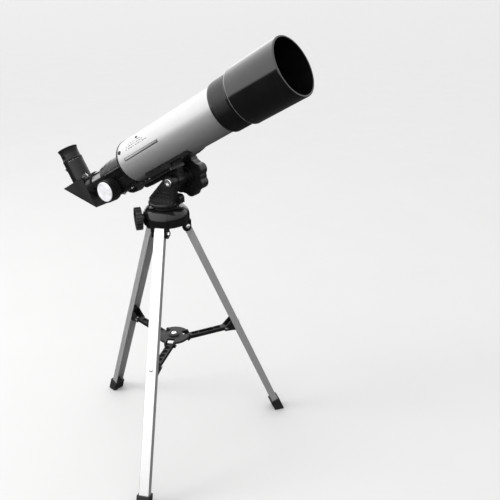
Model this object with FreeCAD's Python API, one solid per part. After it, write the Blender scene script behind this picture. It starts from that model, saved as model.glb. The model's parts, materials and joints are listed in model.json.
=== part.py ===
import FreeCAD, Part
import math
import os

from FreeCAD import Placement, Rotation, Vector

# A small refracting telescope on a folding table tripod.  Millimetres, +Z up.
# Origin: the tripod's vertical axis, at floor level.  The tube points along +X and up.
# "Tube frame": X along the tube, Y across it, Z up from it, origin on the tube's axis
# straight above the altitude pivot.

# --- driving dimensions -------------------------------------------------------------
# whole instrument
PIVOT_FORWARD = 15.2          # altitude pivot ahead of the tripod's axis
PIVOT_HEIGHT = 381.0
TUBE_ABOVE_PIVOT = 43.86
TUBE_TILT = 29.8              # degrees above the horizon

# tripod legs
LEG_AZIMUTHS = (-69.3, 50.7, 170.7)
LEG_HINGE_RADIUS = 24.9
LEG_HINGE_HEIGHT = 319.7
FOOT_RADIUS = 153.4
LEG_WIDTH = 13.0
LEG_DEPTH = 9.3
LEG_WALL = 1.0
LEG_TOP = 6.3                 # leg above its hinge
LEG_BOLT_RADIUS = 1.75
FOOT_WALL = 2.2
FOOT_GRIP = 12.0              # boot's height up the leg
FOOT_SOLE = 4.0

# crown, the tripod's head
CROWN_BOTTOM = 326.5
CROWN_TOP = 346.0
CROWN_RADIUS = 28.3
LOBE_RADIUS = 29.5
NECK_RADIUS = 15.0
NECK_HEIGHT = 2.6
EAR_WALL = 3.2
EAR_RADIUS = 6.6
CROWN_HOLLOW_RADIUS = 12.5
SPINDLE_RADIUS = 4.0
SPINDLE_HEAD_RADIUS = 7.5

# spreader
SPREADER_HEIGHT = 154.0       # height of the three pins of its hub
SPREADER_PIN_RADIUS = 17.0    # from the tripod's axis
CLIP_PIN_RADIUS = 73.0
CLIP_PIN_HEIGHT = 158.0
SPREADER_PLATE = 3.0
SPREADER_PLATE_RADIUS = 24.0
ARM_WIDTH = 9.0
ARM_HEIGHT = 5.2
ARM_WALL = 1.5
ARM_EAR_WALL = 2.4
PIN_RADIUS = 1.25
CLIP_LENGTH = 17.0
CLIP_WALL = 1.6

# azimuth lock
LOCK_AZIMUTH = -129.5
LOCK_HEIGHT = 334.0
LOCK_STEM_RADIUS = 2.5
LOCK_KNOB_RADIUS = 14.3
LOCK_KNOB_THICKNESS = 7.6
LOCK_KNOB_REACH = 30.5        # inner face of the knob from the tripod's axis

# turntable and yoke
TURNTABLE_RADIUS = 20.5
TURNTABLE_THICKNESS = 5.0
UPRIGHT_NEAR = 8.4            # near face of the upright from the tube's plane
UPRIGHT_WALL = 8.4
UPRIGHT_RADIUS = 8.0
YOKE_BACK = 18.0              # heel of the upright behind the tripod's axis
YOKE_FRONT = 19.5
ALTITUDE_BOLT_RADIUS = 3.0
SLEEVE_RADIUS = 8.4
SLEEVE_LENGTH = 9.0
CLAMP_WASHER_RADIUS = 12.0
CLAMP_WASHER_THICKNESS = 2.6
ALTITUDE_KNOB_RADIUS = 27.0
ALTITUDE_KNOB_THICKNESS = 13.0
KNOB_LOBES = 7

# tilting head and saddle
BARREL_RADIUS = 9.0
TONGUE_WALL = 12.0            # width of the head's lug along the pivot
HEAD_BACK = 49.3
HEAD_FRONT = 17.7
HEAD_PLATE = 3.6
HEAD_WIDTH = 26.0
LUG_DEPTH = 4.2
LUG_LENGTH = 26.0
SADDLE_BACK = 21.8
SADDLE_FRONT = 53.7
SADDLE_WIDTH = 33.0
SADDLE_BASE = 2.0             # material under the lowest point of the tube

# optical tube
TUBE_RADIUS = 27.0
TUBE_WALL = 1.0
TUBE_BACK = 43.28             # rear end of the tube behind the pivot's foot
TUBE_LENGTH = 160.9
REAR_FLANGE = 1.6
REAR_PLUG = 12.0
COLLAR_RADIUS = 29.7
COLLAR_LENGTH = 25.5
COLLAR_RIBS = 9
RIB_DEPTH = 0.45
CELL_SPIGOT = 10.0
SHIELD_SEAT = 7.0             # length of collar that the dew shield grips
SHIELD_BACK_RADIUS = 32.3
SHIELD_RIM_RADIUS = 32.8
SHIELD_LENGTH = 67.8
SHIELD_BORE_RADIUS = 30.7
LENS_RADIUS = 25.0
LENS_SEAT_LIP = 1.6
CROWN_LENS_THICKNESS = 6.0
FLINT_LENS_THICKNESS = 3.5
LENS_SPACER = 0.8
BAFFLE_PLACE = 36.5           # ahead of the tube's rear end
BAFFLE_HOLE_RADIUS = 19.0
BAFFLE_THICKNESS = 1.5
BAFFLE_RIM = 5.0
TUBE_SCREW_ANGLE = 58.0       # from the top of the tube towards the near side
INDEX_SCREW_ANGLE = 40.0

# focuser
FOCUSER_RADIUS = 15.0
FOCUSER_LENGTH = 52.0
FOCUSER_FLANGE_RADIUS = 22.0
FOCUSER_FLANGE = 3.0
GEARBOX_WIDTH = 22.0
GEARBOX_DEPTH = 26.0          # below the tube's axis
TOP_COVER_LENGTH = 38.0
TOP_COVER_WALL = 1.3
DRAWTUBE_RADIUS = 13.2
DRAWTUBE_LENGTH = 92.0
DRAWTUBE_SHOWS = 33.0         # bright tube behind the focuser at rest
DRAWTUBE_COLLAR_RADIUS = 15.2
DRAWTUBE_COLLAR = 10.0
MODULE = 0.8
PINION_TEETH = 12
PINION_WIDTH = 4.6
PINION_PLACE = 39.9           # behind the focuser's front face
RACK_WIDTH = 5.0
RACK_LENGTH = 80.0
RACK_BACK = 11.0              # back of the rack below the tube's axis
SHAFT_RADIUS = 2.0
FOCUS_KNOB_RADIUS = 14.3
FOCUS_KNOB_LENGTH = 15.0
FOCUS_KNOB_GAP = 15.2         # knob's inner face from the tube's axis
KNOB_CAP_RADIUS = 12.7
KNOB_CAP_THICKNESS = 1.2
KNOB_RIBS = 36

# star diagonal
DIAGONAL_SIDE = 43.0          # the two equal sides of its triangle
DIAGONAL_WIDTH = 30.0
DIAGONAL_WALL = 2.0
DIAGONAL_TOP = 14.5           # top face above the tube's axis
EYEPIECE_SET_BACK = 17.0      # eyepiece axis behind the diagonal's front face
NOSE_RADIUS = 12.25
NOSE_LENGTH = 10.5
NOSE_WALL = 1.0
HOLDER_RADIUS = 13.2
HOLDER_LENGTH = 27.0
MIRROR_THICKNESS = 2.0

# eyepiece
EYEPIECE_RADIUS = 12.25
EYEPIECE_INSERT = 20.0
EYEPIECE_WALL = 1.0
SHOULDER_RADIUS = 13.4
SHOULDER_HEIGHT = 3.4
EYEPIECE_BODY_RADIUS = 12.2
EYEPIECE_BODY_HEIGHT = 7.0
EYECUP_RADIUS = 13.5
EYECUP_HEIGHT = 8.0
THUMB_RADIUS = 3.6
THUMB_STEM_RADIUS = 1.5

# clearances
SLIP = 0.05                   # sliding and running fits, on the radius
GAP = 0.3                     # between faces of pieces that move apart
SIDE_PLAY = 0.4               # each side of a leg between its ears
LEG_SWEEP = 2.0               # room for the leg's head to turn in the crown

X_AXIS = Vector(1, 0, 0)
Y_AXIS = Vector(0, 1, 0)
Z_AXIS = Vector(0, 0, 1)
ORIGIN = Vector(0, 0, 0)

# --- derived places -----------------------------------------------------------------
PITCH_RADIUS = MODULE * PINION_TEETH / 2
CROWN_NECK_TOP = CROWN_TOP + NECK_HEIGHT
TURNTABLE_BOTTOM = CROWN_NECK_TOP + GAP
TURNTABLE_TOP = TURNTABLE_BOTTOM + TURNTABLE_THICKNESS
UPRIGHT_FAR = UPRIGHT_WALL - UPRIGHT_NEAR
TONGUE_NEAR = UPRIGHT_FAR + GAP
TONGUE_FAR = TONGUE_NEAR + TONGUE_WALL
SLEEVE_NEAR = TONGUE_FAR + GAP
CROWN_BOSS = CROWN_RADIUS + 0.6
LEG_LEAN = math.degrees(math.atan2(FOOT_RADIUS - LEG_HINGE_RADIUS, LEG_HINGE_HEIGHT))
LEG_REACH = math.hypot(FOOT_RADIUS - LEG_HINGE_RADIUS, LEG_HINGE_HEIGHT)
EAR_IN = LEG_WIDTH / 2 + SIDE_PLAY
EAR_OUT = EAR_IN + EAR_WALL
TUBE_REAR = -TUBE_BACK
TUBE_FRONT = TUBE_REAR + TUBE_LENGTH
TUBE_BORE = TUBE_RADIUS - TUBE_WALL
COLLAR_FRONT = TUBE_FRONT + COLLAR_LENGTH + SHIELD_SEAT
SHIELD_REAR = TUBE_FRONT + COLLAR_LENGTH
SHIELD_RIM = SHIELD_REAR + SHIELD_LENGTH
FOCUSER_FRONT = TUBE_REAR - REAR_FLANGE
FOCUSER_REAR = FOCUSER_FRONT - FOCUSER_LENGTH
PINION_X = FOCUSER_FRONT - PINION_PLACE
RACK_PITCH_Z = -(RACK_BACK + 2.5)
PINION_Z = RACK_PITCH_Z - PITCH_RADIUS
DRAWTUBE_REAR = FOCUSER_REAR - DRAWTUBE_SHOWS
DRAWTUBE_FRONT = DRAWTUBE_REAR + DRAWTUBE_LENGTH
DIAGONAL_FRONT = DRAWTUBE_REAR - GAP
EYEPIECE_X = DIAGONAL_FRONT - EYEPIECE_SET_BACK
HOLDER_TOP = DIAGONAL_TOP + HOLDER_LENGTH
EYEPIECE_BODY_BASE = HOLDER_TOP + SHOULDER_HEIGHT
EYECUP_BASE = EYEPIECE_BODY_BASE + EYEPIECE_BODY_HEIGHT
HEAD_TOP = -(TUBE_RADIUS + SADDLE_BASE)


# --- shapes -------------------------------------------------------------------------
def cylinder(radius, start, end, axis=Z_AXIS, centre=ORIGIN):
    """Round bar from start to end along an axis through centre."""
    base = centre + axis * start
    return Part.makeCylinder(radius, end - start, base, axis)


def ring(outer, inner, start, end, axis=Z_AXIS, centre=ORIGIN):
    """Hollow round bar."""
    solid = cylinder(outer, start, end, axis, centre)
    return solid.cut(cylinder(inner, start - 1, end + 1, axis, centre))


def box(x, y, z):
    """Block between (low, high) pairs."""
    corner = Vector(x[0], y[0], z[0])
    return Part.makeBox(x[1] - x[0], y[1] - y[0], z[1] - z[0], corner)


def face_of(start, steps, place):
    """Face inside an outline; a step is a point, or (middle, end) of an arc."""
    edges = []
    here = place(*start)
    for step in list(steps) + [start]:
        if isinstance(step[0], tuple):
            middle, end = (place(*point) for point in step)
            edges.append(Part.Arc(here, middle, end).toShape())
        else:
            end = place(*step)
            if (end - here).Length < 1e-6:
                continue
            edges.append(Part.LineSegment(here, end).toShape())
        here = end
    return Part.Face(Part.Wire(edges))


def turned(start, *steps):
    """Solid of revolution about Z from an outline of (radius, height)."""
    face = face_of(start, steps, lambda r, h: Vector(r, 0, h))
    return face.revolve(ORIGIN, Z_AXIS, 360)


def turned_x(start, *steps):
    """Solid of revolution about X from an outline of (place along X, radius)."""
    face = face_of(start, steps, lambda s, r: Vector(s, 0, r))
    return face.revolve(ORIGIN, X_AXIS, 360)


def slab(start, steps, low, high):
    """Plate of an X-Z outline, from low to high along Y."""
    face = face_of(start, steps, lambda x, z: Vector(x, low, z))
    return face.extrude(Vector(0, high - low, 0))


def moved(shape, offset=ORIGIN, axis=Z_AXIS, angle=0.0):
    """Copy turned about an axis through the origin, then shifted."""
    copy = shape.copy()
    copy.Placement = Placement(offset, Rotation(axis, angle)).multiply(copy.Placement)
    return copy


def fused(shapes):
    """One solid from overlapping pieces."""
    solid = shapes[0]
    for shape in shapes[1:]:
        solid = solid.fuse(shape)
    return solid.removeSplitter()


def drilled(solid, *tools):
    """Solid with each tool cut away."""
    for tool in tools:
        solid = solid.cut(tool)
    return solid


def in_tube(shape):
    """Place a shape made in the tube frame into the instrument."""
    lifted = moved(shape, Vector(0, 0, TUBE_ABOVE_PIVOT))
    return moved(lifted, Vector(PIVOT_FORWARD, 0, PIVOT_HEIGHT), Y_AXIS, -TUBE_TILT)


def at_pivot(shape):
    """Place a shape made about the altitude pivot, square to the ground."""
    return moved(shape, Vector(PIVOT_FORWARD, 0, PIVOT_HEIGHT))


def around_tube(shape, angle):
    """Turn a shape made at the top of the tube towards the near side, -Y."""
    return moved(shape, ORIGIN, X_AXIS, angle)


def ribbed(radius, depth, count, start, end, axis, centre=ORIGIN):
    """Round grip with rounded flutes cut along it."""
    grip = cylinder(radius, start, end, axis, centre)
    across = Vector(0, 0, 1) if abs(axis.z) < 0.5 else Vector(1, 0, 0)
    flute = math.pi * radius / count * 0.5
    for index in range(count):
        turn = Rotation(axis, 360.0 * index / count)
        spot = centre + turn.multVec(across) * (radius + flute - depth)
        grip = grip.cut(cylinder(flute, start - 1, end + 1, axis, spot))
    return grip


def pan_screw(head_radius, head_height, shank_radius, shank_length):
    """Screw along +Z whose head stands on the plane z = 0, with a cross recess."""
    dome = turned((0, 0), (head_radius, 0), (head_radius, head_height * 0.4),
                  ((head_radius * 0.75, head_height * 0.85), (0, head_height)))
    shank = cylinder(shank_radius, -shank_length, 0)
    slot = box((-head_radius * 0.55, head_radius * 0.55), (-0.3, 0.3),
               (head_height * 0.5, head_height + 1))
    return drilled(fused([dome, shank]), slot, moved(slot, ORIGIN, Z_AXIS, 90))


def thumbscrew(stem_length):
    """Set screw along +Z with a milled head; the stem points down from z = 0."""
    head = ribbed(THUMB_RADIUS, 0.35, 16, 1.6, 6.2, Z_AXIS)
    neck = turned((0, 0), (THUMB_STEM_RADIUS + 0.7, 0), (THUMB_RADIUS - 0.6, 1.6), (0, 1.6))
    return fused([head, neck, cylinder(THUMB_STEM_RADIUS, -stem_length, 0.5)])


# --- tripod -------------------------------------------------------------------------
def leg_frame(shape):
    """Place a shape made about the hinge, leg hanging down, outside towards +X."""
    return moved(shape, Vector(LEG_HINGE_RADIUS, 0, LEG_HINGE_HEIGHT), Y_AXIS, -LEG_LEAN)


def to_leg(shape, azimuth):
    """Turn a shape made in the X-Z plane to a leg's azimuth."""
    return moved(shape, ORIGIN, Z_AXIS, azimuth)


def leg_point(radius, height):
    """A point of the X-Z plane, in the leg's own frame."""
    dx = radius - LEG_HINGE_RADIUS
    dz = height - LEG_HINGE_HEIGHT
    lean = math.radians(LEG_LEAN)
    return (dx * math.cos(lean) + dz * math.sin(lean),
            -dx * math.sin(lean) + dz * math.cos(lean))


def leg_channel():
    """Aluminium channel, open towards the tripod's axis, with a rounded head."""
    half = LEG_WIDTH / 2
    bottom = -(LEG_REACH - FOOT_SOLE - LEG_DEPTH * 0.35)
    x = (-LEG_DEPTH / 2, LEG_DEPTH / 2)
    bar = box(x, (-half, half), (bottom, LEG_TOP))
    hollow = box((x[0] - 1, x[1] - LEG_WALL), (-half + LEG_WALL, half - LEG_WALL),
                 (bottom - 1, LEG_TOP + 1))
    corners = [edge for edge in bar.Edges
               if abs(edge.Vertexes[0].X - x[1]) < 1e-6
               and abs(edge.Vertexes[-1].X - x[1]) < 1e-6
               and abs(edge.Vertexes[0].Z - edge.Vertexes[-1].Z) > 1]
    bar = bar.makeFillet(LEG_WALL * 0.8, corners)
    hole = cylinder(LEG_BOLT_RADIUS + SLIP, -half - 1, half + 1, Y_AXIS)
    pivot_z = leg_point(CLIP_PIN_RADIUS, CLIP_PIN_HEIGHT)[1]
    rivet = cylinder(1.5 + SLIP, 0, LEG_DEPTH, X_AXIS, Vector(0, 0, pivot_z))
    return drilled(bar, hollow, hole, rivet)


def foot_boot():
    """Rubber boot round the leg's end, with a flat sole on the floor."""
    half_x = LEG_DEPTH / 2 + FOOT_WALL
    half_y = LEG_WIDTH / 2 + FOOT_WALL
    bottom = -(LEG_REACH - FOOT_SOLE - LEG_DEPTH * 0.35)
    boot = box((-half_x, half_x), (-half_y, half_y), (bottom - 14, bottom + FOOT_GRIP))
    uprights = [edge for edge in boot.Edges
                if abs(edge.Vertexes[0].Z - edge.Vertexes[-1].Z) > 1]
    boot = boot.makeFillet(1.6, uprights)
    socket = box((-LEG_DEPTH / 2, LEG_DEPTH / 2), (-LEG_WIDTH / 2, LEG_WIDTH / 2),
                 (bottom, bottom + FOOT_GRIP + 1))
    plug = box((-LEG_DEPTH / 2, LEG_DEPTH / 2 - LEG_WALL),
               (-LEG_WIDTH / 2 + LEG_WALL, LEG_WIDTH / 2 - LEG_WALL),
               (bottom - 1, bottom + FOOT_GRIP))
    boot = fused([boot.cut(socket), plug])
    span = FOOT_RADIUS + 40
    floor = box((0, span), (-40, 40), (-40, 0))
    return leg_frame(boot).cut(floor)


def spreader_clip():
    """Bracket riveted inside the channel that carries the arm's outer pin."""
    pin_x, pin_z = leg_point(CLIP_PIN_RADIUS, CLIP_PIN_HEIGHT)
    half = LEG_WIDTH / 2 - LEG_WALL - SLIP
    inside = LEG_DEPTH / 2 - LEG_WALL - SLIP
    z = (pin_z - CLIP_LENGTH / 2, pin_z + CLIP_LENGTH / 2)
    pad = box((-LEG_DEPTH / 2 - 1.2, inside), (-half, half), z)
    fork_in = ARM_WIDTH / 2 + GAP
    ears = []
    for side in (-1, 1):
        low, high = sorted((side * fork_in, side * (fork_in + CLIP_WALL)))
        start = (-LEG_DEPTH / 2 - 0.5, pin_z + CLIP_LENGTH / 2)
        steps = [(-LEG_DEPTH / 2 - 0.5, pin_z - CLIP_LENGTH / 2), (pin_x, pin_z - 3.6),
                 ((pin_x - 3.6, pin_z), (pin_x, pin_z + 3.6))]
        ears.append(slab(start, steps, low, high))
    lift = box((-LEG_DEPTH / 2 - 1.2, -LEG_DEPTH / 2), (-fork_in - CLIP_WALL, fork_in + CLIP_WALL), z)
    pocket = box((-LEG_DEPTH / 2 - 20, -LEG_DEPTH / 2 + 1.5), (-fork_in, fork_in),
                 (pin_z - CLIP_LENGTH, pin_z + CLIP_LENGTH))
    hole = cylinder(PIN_RADIUS, -20, 20, Y_AXIS, Vector(pin_x, 0, pin_z))
    rivet = cylinder(1.5, 0, LEG_DEPTH, X_AXIS, Vector(0, 0, pin_z))
    return drilled(fused([pad, lift] + ears), pocket, hole, rivet)


def clip_fasteners():
    """The arm's outer pin and the rivet through the channel's face."""
    pin_x, pin_z = leg_point(CLIP_PIN_RADIUS, CLIP_PIN_HEIGHT)
    reach = ARM_WIDTH / 2 + GAP + CLIP_WALL
    centre = Vector(pin_x, 0, pin_z)
    pin = fused([cylinder(PIN_RADIUS, -reach - 0.8, reach + 0.8, Y_AXIS, centre),
                 cylinder(PIN_RADIUS * 1.7, -reach - 0.8, -reach, Y_AXIS, centre),
                 cylinder(PIN_RADIUS * 1.7, reach, reach + 0.8, Y_AXIS, centre)])
    shank = cylinder(1.5, 0, LEG_DEPTH / 2 + 0.2, X_AXIS, Vector(0, 0, pin_z))
    head = moved(turned((0, 0), (2.7, 0), (2.1, 0.7), (1.0, 1.1), (0, 1.1)), ORIGIN, Y_AXIS, 90)
    head = moved(head, Vector(LEG_DEPTH / 2, 0, pin_z))
    return Part.makeCompound([pin, fused([shank, head])])


def spreader_arm():
    """Ribbed channel arm between the leg's clip and the spreader's hub."""
    span = math.hypot(CLIP_PIN_RADIUS - SPREADER_PIN_RADIUS, CLIP_PIN_HEIGHT - SPREADER_HEIGHT)
    rise = math.degrees(math.atan2(CLIP_PIN_HEIGHT - SPREADER_HEIGHT,
                                   CLIP_PIN_RADIUS - SPREADER_PIN_RADIUS))
    half = ARM_HEIGHT / 2
    steps = [(span, -half), ((span + half, 0), (span, half)), (0, half), ((-half, 0), (0, -half))]
    bar = slab((0, -half), steps, -ARM_WIDTH / 2, ARM_WIDTH / 2)
    inner_y = ARM_WIDTH / 2 - ARM_WALL
    first, last = 7.0, span - 7.0
    bays = 4
    pitch = (last - first) / bays
    for index in range(bays):
        low = first + index * pitch + ARM_WALL / 2
        high = first + (index + 1) * pitch - ARM_WALL / 2
        for side in (-1, 1):
            z = (0.6, half + 1) if side > 0 else (-half - 1, -0.6)
            bar = bar.cut(box((low, high), (-inner_y, inner_y), z))
    bar = bar.cut(cylinder(PIN_RADIUS + SLIP, -20, 20, Y_AXIS, Vector(span, 0, 0)))
    return moved(bar, Vector(SPREADER_PIN_RADIUS, 0, SPREADER_HEIGHT), Y_AXIS, -rise)


def arm_pin():
    """Trunnions moulded on the arm's inner end; the hub's hooks rest on them."""
    reach = ARM_WIDTH / 2 + GAP + ARM_EAR_WALL + 0.8
    return cylinder(PIN_RADIUS, -reach, reach, Y_AXIS, Vector(SPREADER_PIN_RADIUS, 0, SPREADER_HEIGHT))


def spreader_hub():
    """Plate with three pairs of hooks, open downwards and inwards, over the arms' pins."""
    low = SPREADER_HEIGHT + ARM_HEIGHT / 2 + 1.4
    top = low + SPREADER_PLATE
    plate = turned((0, low), (SPREADER_PLATE_RADIUS - 3, low), (SPREADER_PLATE_RADIUS - 3, top - 0.8),
                   (SPREADER_PLATE_RADIUS - 4, top), (0, top))
    boss = turned((0, low), (7.5, low), (7.5, top + 1.2), (6.3, top + 2.0), (0, top + 2.0))
    ear_in = ARM_WIDTH / 2 + GAP
    ears = []
    slots = []
    for azimuth in LEG_AZIMUTHS:
        slot = box((SPREADER_PIN_RADIUS - 5.2, SPREADER_PLATE_RADIUS + 9), (-ear_in, ear_in),
                   (low - 20, top + 5))
        slots.append(to_leg(slot, azimuth))
        for side in (-1, 1):
            y = sorted((side * ear_in, side * (ear_in + ARM_EAR_WALL)))
            radius = 3.4
            start = (SPREADER_PIN_RADIUS - 5.0, top)
            steps = [(SPREADER_PIN_RADIUS - 5.0, low - 0.2),
                     (SPREADER_PIN_RADIUS, SPREADER_HEIGHT + PIN_RADIUS + SLIP),
                     ((SPREADER_PIN_RADIUS + PIN_RADIUS + SLIP, SPREADER_HEIGHT),
                      (SPREADER_PIN_RADIUS + 0.3, SPREADER_HEIGHT - PIN_RADIUS - SLIP)),
                     (SPREADER_PIN_RADIUS + 0.8, SPREADER_HEIGHT - radius),
                     ((SPREADER_PIN_RADIUS + radius + 0.6, SPREADER_HEIGHT - 0.6),
                      (SPREADER_PIN_RADIUS + radius, top))]
            ears.append(to_leg(slab(start, steps, y[0], y[1]), azimuth))
    hub = fused([plate, boss]).cut(cylinder(2.0, low - 1, top + 9))
    for slot in slots:
        hub = hub.cut(slot)
    return fused([hub] + ears)


def spreader_screw():
    """Screw that closes the spreader's boss."""
    top = SPREADER_HEIGHT + ARM_HEIGHT / 2 + 1.4 + SPREADER_PLATE + 2.0
    return moved(pan_screw(3.6, 1.8, 2.0, SPREADER_PLATE + 1.5), Vector(0, 0, top))


def dome(radius, low):
    """Smooth cap from a skirt of the given radius up to the crown's neck."""
    skirt = low + (CROWN_TOP - low) * 0.42
    lean = (radius - NECK_RADIUS) * 0.22
    middle_z = skirt + (CROWN_TOP - skirt) * 0.74
    return turned((0, low), (radius, low), (radius, skirt),
                  ((radius - lean, middle_z), (NECK_RADIUS, CROWN_TOP)), (0, CROWN_TOP))


def hub_crown():
    """Moulded head: a dome with three lobes, and two ears for each leg."""
    body = [dome(CROWN_RADIUS, CROWN_BOTTOM),
            cylinder(NECK_RADIUS - 1.2, CROWN_TOP - 1, CROWN_NECK_TOP)]
    lobe_cap = dome(LOBE_RADIUS, CROWN_BOTTOM)
    slots = []
    for azimuth in LEG_AZIMUTHS:
        lobe = box((0, LOBE_RADIUS + 1), (-EAR_OUT, EAR_OUT), (CROWN_BOTTOM, CROWN_TOP))
        body.append(to_leg(lobe, azimuth).common(lobe_cap))
        start = (LEG_HINGE_RADIUS - EAR_RADIUS, CROWN_BOTTOM + 2)
        steps = [(LEG_HINGE_RADIUS - EAR_RADIUS, LEG_HINGE_HEIGHT),
                 ((LEG_HINGE_RADIUS, LEG_HINGE_HEIGHT - EAR_RADIUS),
                  (LOBE_RADIUS, LEG_HINGE_HEIGHT)),
                 (LOBE_RADIUS, CROWN_BOTTOM + 2)]
        ear = slab(start, steps, -EAR_OUT, EAR_OUT)
        body.append(to_leg(ear, azimuth))
        roof = LEG_HINGE_HEIGHT + LEG_TOP + LEG_SWEEP
        slot = box((LEG_HINGE_RADIUS - EAR_RADIUS - 6, LOBE_RADIUS + 9), (-EAR_IN, EAR_IN),
                   (LEG_HINGE_HEIGHT - 30, roof))
        bolt = cylinder(LEG_BOLT_RADIUS, -30, 30, Y_AXIS,
                        Vector(LEG_HINGE_RADIUS, 0, LEG_HINGE_HEIGHT))
        slots += [to_leg(slot, azimuth), to_leg(bolt, azimuth)]
    crown = fused(body)
    spindle = cylinder(SPINDLE_RADIUS + SLIP, 0, CROWN_NECK_TOP + 1)
    hollow = cylinder(CROWN_HOLLOW_RADIUS, 0, CROWN_BOTTOM + 4.5)
    stem = to_leg(cylinder(LOCK_STEM_RADIUS + SLIP, 0, 60, X_AXIS, Vector(0, 0, LOCK_HEIGHT)),
                  LOCK_AZIMUTH)
    boss = to_leg(cylinder(5.4, SPINDLE_RADIUS + 4, CROWN_BOSS, X_AXIS,
                           Vector(0, 0, LOCK_HEIGHT)), LOCK_AZIMUTH)
    return drilled(crown.fuse(boss), spindle, hollow, stem, *slots).removeSplitter()


def leg_bolts():
    """Three hinge bolts with a round head one side and a nut the other."""
    bolts = []
    for azimuth in LEG_AZIMUTHS:
        shank = cylinder(LEG_BOLT_RADIUS, -EAR_OUT - 1, EAR_OUT + 1, Y_AXIS)
        head = moved(pan_screw(3.2, 1.8, 1.0, 0.5), Vector(0, -EAR_OUT, 0), X_AXIS, 90)
        nut = moved(Part.Face(Part.makePolygon(
            [Vector(3.3 * math.cos(a), 3.3 * math.sin(a), 0)
             for a in (math.radians(60 * k) for k in range(7))])).extrude(Vector(0, 0, 2.2)),
            Vector(0, EAR_OUT, 0), X_AXIS, -90)
        bolt = fused([shank, head, nut])
        bolt = moved(bolt, Vector(LEG_HINGE_RADIUS, 0, LEG_HINGE_HEIGHT))
        bolts.append(to_leg(bolt, azimuth))
    return Part.makeCompound(bolts)


def azimuth_lock():
    """Clamp screw with a fluted disc knob at the crown's side."""
    centre = Vector(0, 0, LOCK_HEIGHT)
    inner = LOCK_KNOB_REACH
    stem = cylinder(LOCK_STEM_RADIUS, SPINDLE_RADIUS + GAP, inner + 2, X_AXIS, centre)
    reach = inner - CROWN_BOSS - GAP
    neck = moved(turned((0, 0), (4.6, 0), (6.2, reach + 0.2), (0, reach + 0.2)),
                 Vector(inner - reach, 0, LOCK_HEIGHT), Y_AXIS, 90)
    disc = ribbed(LOCK_KNOB_RADIUS, 1.0, 20, inner, inner + LOCK_KNOB_THICKNESS, X_AXIS, centre)
    face = inner + LOCK_KNOB_THICKNESS
    dish = cylinder(LOCK_KNOB_RADIUS - 3.4, face - 1.2, face + 1, X_AXIS, centre)
    return to_leg(fused([neck, disc.cut(dish), stem]), LOCK_AZIMUTH)


# --- turntable, yoke and tilting head -----------------------------------------------
def upright():
    """Post of the yoke: sloping heel behind, upright in front, round at the pivot."""
    base = TURNTABLE_TOP - PIVOT_HEIGHT
    back = -YOKE_BACK - PIVOT_FORWARD
    front = YOKE_FRONT - PIVOT_FORWARD
    crest = (-UPRIGHT_RADIUS * 0.75, UPRIGHT_RADIUS * 0.66)
    steps = [(front, base), (UPRIGHT_RADIUS, 0), ((0, UPRIGHT_RADIUS), crest), (back, base + 3)]
    return at_pivot(slab((back, base), steps, -UPRIGHT_NEAR, UPRIGHT_FAR))


def yoke():
    """Turntable disc with one ribbed upright that holds the altitude pivot."""
    base = TURNTABLE_TOP
    disc = turned((0, TURNTABLE_BOTTOM), (TURNTABLE_RADIUS - 2.5, TURNTABLE_BOTTOM),
                  (TURNTABLE_RADIUS, TURNTABLE_BOTTOM + 1.8), (TURNTABLE_RADIUS, base - 1.0),
                  (TURNTABLE_RADIUS - 1.0, base), (0, base))
    step_top = PIVOT_HEIGHT - BARREL_RADIUS - 6
    half = TURNTABLE_RADIUS * 0.5
    foot = slab((-YOKE_BACK + 8, base - 1),
                [(YOKE_FRONT - 5, base - 1), (YOKE_FRONT - 5, base + 5), (PIVOT_FORWARD - 6, step_top),
                 (PIVOT_FORWARD - 12, step_top), (-YOKE_BACK + 8, base + 2)],
                UPRIGHT_FAR - 1, half)
    spindle = cylinder(SPINDLE_RADIUS - 1.5, TURNTABLE_BOTTOM - 1, base + 5)
    pockets = []
    for low, high in ((3.0, 7.2), (8.6, 12.0), (13.4, 16.4)):
        z = base + low
        slope = (z - base) * 0.95
        pockets.append(box((-YOKE_BACK + 4.5 + slope, PIVOT_FORWARD - 1.0),
                           (-UPRIGHT_NEAR - 1, -UPRIGHT_NEAR + 1.3), (z, base + high)))
    bolt = at_pivot(cylinder(ALTITUDE_BOLT_RADIUS, -40, 40, Y_AXIS))
    lug = slab((YOKE_FRONT - 9, base - 1), [(YOKE_FRONT + 3.5, base - 1), (YOKE_FRONT + 3.5, base + 5),
               ((YOKE_FRONT + 2.3, base + 7.8), (YOKE_FRONT - 0.5, base + 9)),
               (YOKE_FRONT - 5.5, base + 9)], 1.0, 10.0)
    return drilled(fused([disc, foot, lug, upright()]), spindle, bolt, *pockets)


def azimuth_spindle():
    """Bolt under the yoke that turns in the crown, held by a wide head below."""
    top = TURNTABLE_BOTTOM
    seat = CROWN_BOTTOM + 4.5
    pin = cylinder(SPINDLE_RADIUS, seat - 1, top)
    thread = cylinder(SPINDLE_RADIUS - 1.5, top - 1, TURNTABLE_TOP + 4)
    head = turned((0, seat - GAP - 4), (SPINDLE_HEAD_RADIUS - 1, seat - GAP - 4),
                  (SPINDLE_HEAD_RADIUS, seat - GAP - 3), (SPINDLE_HEAD_RADIUS, seat - GAP),
                  (0, seat - GAP))
    return fused([pin, thread, head])


def altitude_bolt():
    """Through bolt of the altitude pivot, silver head on the near side."""
    end = SLEEVE_NEAR + SLEEVE_LENGTH + CLAMP_WASHER_THICKNESS + ALTITUDE_KNOB_THICKNESS * 0.7
    shank = cylinder(ALTITUDE_BOLT_RADIUS, -UPRIGHT_NEAR - 1, end, Y_AXIS)
    head = turned((0, 0), (5.2, 0), (5.2, 2.2), (4.6, 2.9), (2.4, 2.9), (2.4, 1.0), (0, 1.0))
    head = moved(head, Vector(0, -UPRIGHT_NEAR, 0), X_AXIS, 90)
    return at_pivot(fused([shank, head]))


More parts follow.
